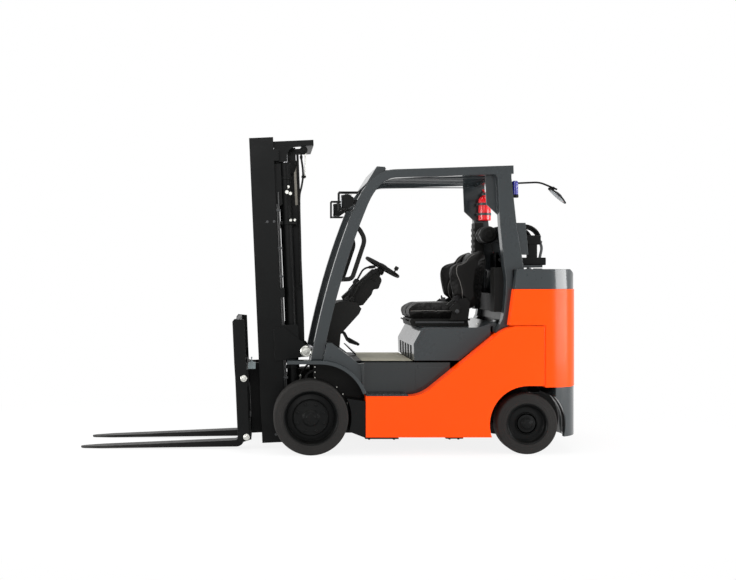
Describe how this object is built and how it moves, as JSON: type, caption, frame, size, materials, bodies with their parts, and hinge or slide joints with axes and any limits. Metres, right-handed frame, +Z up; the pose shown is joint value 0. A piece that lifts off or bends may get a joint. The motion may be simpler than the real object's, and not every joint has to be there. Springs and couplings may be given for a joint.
{
  "type": "counterbalanced forklift truck",
  "caption": "Counterbalanced forklift truck on cushion tyres with a tilting, telescoping mast, lifting carriage, turning and steering wheels, and a hinged engine hood.",
  "frame": {"origin": "centre of the bounding box on the floor", "axes": "+X forward over the forks, +Y to the truck's left, +Z up"},
  "size_m": [3.8192, 1.248, 2.4038],
  "materials": {
    "orange_paint": "satin paint, lightly worn",
    "grey_paint": "satin dark blue-grey paint",
    "black_paint": "semi-gloss black paint, dusty",
    "black_plastic": "grained black plastic",
    "tyre": "dusty solid rubber",
    "bare_steel": "oiled bare steel",
    "seat_vinyl": "black vinyl with seams",
    "red_paint": "gloss red paint",
    "blue_lens": "clear blue plastic"
  },
  "bodies": {
    "chassis": {"frame": "orange_paint", "wheel_liners": "black_plastic", "front_axle": "black_paint", "steer_axle": "black_paint", "engine_block": "black_paint", "floor_plate": "black_plastic", "step_panels": "grey_paint", "front_fenders": "grey_paint", "dash_cowl": "black_plastic", "controls": "black_plastic", "guard_sides": "grey_paint", "guard_roof": "grey_paint", "grab_handles": "black_plastic", "work_lamps": "black_plastic", "rear_lamps": "blue_lens", "air_intake": "black_plastic", "fire_extinguisher": "red_paint", "counterweight": "orange_paint", "counterweight_covers": "grey_paint", "rear_grille": "black_paint", "drawbar_jaw": "black_paint", "gas_bracket": "grey_paint", "gas_straps": "bare_steel"},
    "hood": {"engine_hood": "grey_paint", "seat_frame": "black_plastic", "seat_cushion": "seat_vinyl", "seat_back": "seat_vinyl"},
    "handwheel": {"steering_wheel": "black_plastic"},
    "tilt_barrels": {"tilt_barrels": "black_paint"},
    "tilt_rods": {"tilt_rods": "bare_steel"},
    "mast_outer": {"outer_rails": "black_paint", "lift_barrels": "black_paint"},
    "mast_middle": {"middle_rails": "black_paint", "lift_rods": "bare_steel", "stage_chains": "bare_steel"},
    "mast_inner": {"inner_rails": "black_paint", "free_lift_barrel": "black_paint"},
    "lift_head": {"free_lift_head": "black_paint", "carriage_chains": "bare_steel"},
    "carriage": {"carriage": "black_paint", "load_backrest": "black_paint", "fork_left": "black_paint", "fork_right": "black_paint"},
    "drive_wheel_left": {"front_tyre_left": "tyre", "front_wheel_left": "black_paint"},
    "drive_wheel_right": {"front_tyre_right": "tyre", "front_wheel_right": "black_paint"},
    "knuckle_left": {"knuckle_left": "black_paint"},
    "knuckle_right": {"knuckle_right": "black_paint"},
    "steer_wheel_left": {"rear_tyre_left": "tyre", "rear_wheel_left": "black_paint"},
    "steer_wheel_right": {"rear_tyre_right": "tyre", "rear_wheel_right": "black_paint"}
  },
  "joints": [
    {"name": "drive_left_spin", "type": "hinge", "parent": "chassis", "child": "drive_wheel_left", "pos_m": [0.13937, 0.5055, 0.2795], "axis": [0, 1, 0], "continuous": true},
    {"name": "drive_right_spin", "type": "hinge", "parent": "chassis", "child": "drive_wheel_right", "pos_m": [0.13937, -0.5055, 0.2795], "axis": [0, 1, 0], "continuous": true},
    {"name": "steer_left", "type": "hinge", "parent": "chassis", "child": "knuckle_left", "pos_m": [-1.48063, 0.4, 0.2285], "axis": [0, 0, 1], "range_deg": [-65, 65]},
    {"name": "steer_right", "type": "hinge", "parent": "chassis", "child": "knuckle_right", "pos_m": [-1.48063, -0.4, 0.2285], "axis": [0, 0, 1], "range_deg": [-65, 65]},
    {"name": "steer_left_spin", "type": "hinge", "parent": "knuckle_left", "child": "steer_wheel_left", "pos_m": [-1.48063, 0.49, 0.2285], "axis": [0, 1, 0], "continuous": true},
    {"name": "steer_right_spin", "type": "hinge", "parent": "knuckle_right", "child": "steer_wheel_right", "pos_m": [-1.48063, -0.49, 0.2285], "axis": [0, 1, 0], "continuous": true},
    {"name": "handwheel_turn", "type": "hinge", "parent": "chassis", "child": "handwheel", "pos_m": [-0.46063, 0, 1.406], "axis": [-0.515, 0, 0.8572], "range_deg": [-850, 850]},
    {"name": "mast_tilt", "type": "hinge", "parent": "chassis", "child": "mast_outer", "pos_m": [0.13937, 0, 0.2795], "axis": [0, 1, 0], "range_deg": [-8.5, 2.5]},
    {"name": "tilt_barrel_swing", "type": "hinge", "parent": "chassis", "child": "tilt_barrels", "pos_m": [-0.42063, 0, 0.54], "axis": [0, 1, 0], "range_deg": [-4, 2]},
    {"name": "tilt_rod_slide", "type": "slide", "parent": "tilt_barrels", "child": "tilt_rods", "axis": [0.938, 0, 0.3466], "range_m": [-0.075, 0.025]},
    {"name": "mast_lift", "type": "slide", "parent": "mast_outer", "child": "mast_middle", "axis": [0.0436, 0, 0.999], "range_m": [0, 2], "deforming": ["stage_chains"]},
    {"name": "inner_lift", "type": "slide", "parent": "mast_middle", "child": "mast_inner", "axis": [0.0436, 0, 0.999], "range_m": [0, 2]},
    {"name": "head_lift", "type": "slide", "parent": "mast_inner", "child": "lift_head", "axis": [0.0436, 0, 0.999], "range_m": [0, 0.7]},
    {"name": "carriage_lift", "type": "slide", "parent": "lift_head", "child": "carriage", "axis": [0.0436, 0, 0.999], "range_m": [0, 0.7], "deforming": ["carriage_chains"]},
    {"name": "hood_open", "type": "hinge", "parent": "chassis", "child": "hood", "pos_m": [-1.29663, 0, 0.985], "axis": [0, -1, 0], "range_deg": [0, 20]}
  ],
  "couplings": [
    {"joint": "steer_right", "follows": "steer_left", "ratio": 1},
    {"joint": "handwheel_turn", "follows": "steer_left", "ratio": -13},
    {"joint": "tilt_barrel_swing", "follows": "mast_tilt", "ratio": 0.30594},
    {"joint": "tilt_rod_slide", "follows": "mast_tilt", "m_per_rad": 0.43846},
    {"joint": "inner_lift", "follows": "mast_lift", "ratio": 1},
    {"joint": "head_lift", "follows": "carriage_lift", "ratio": 1}
  ]
}
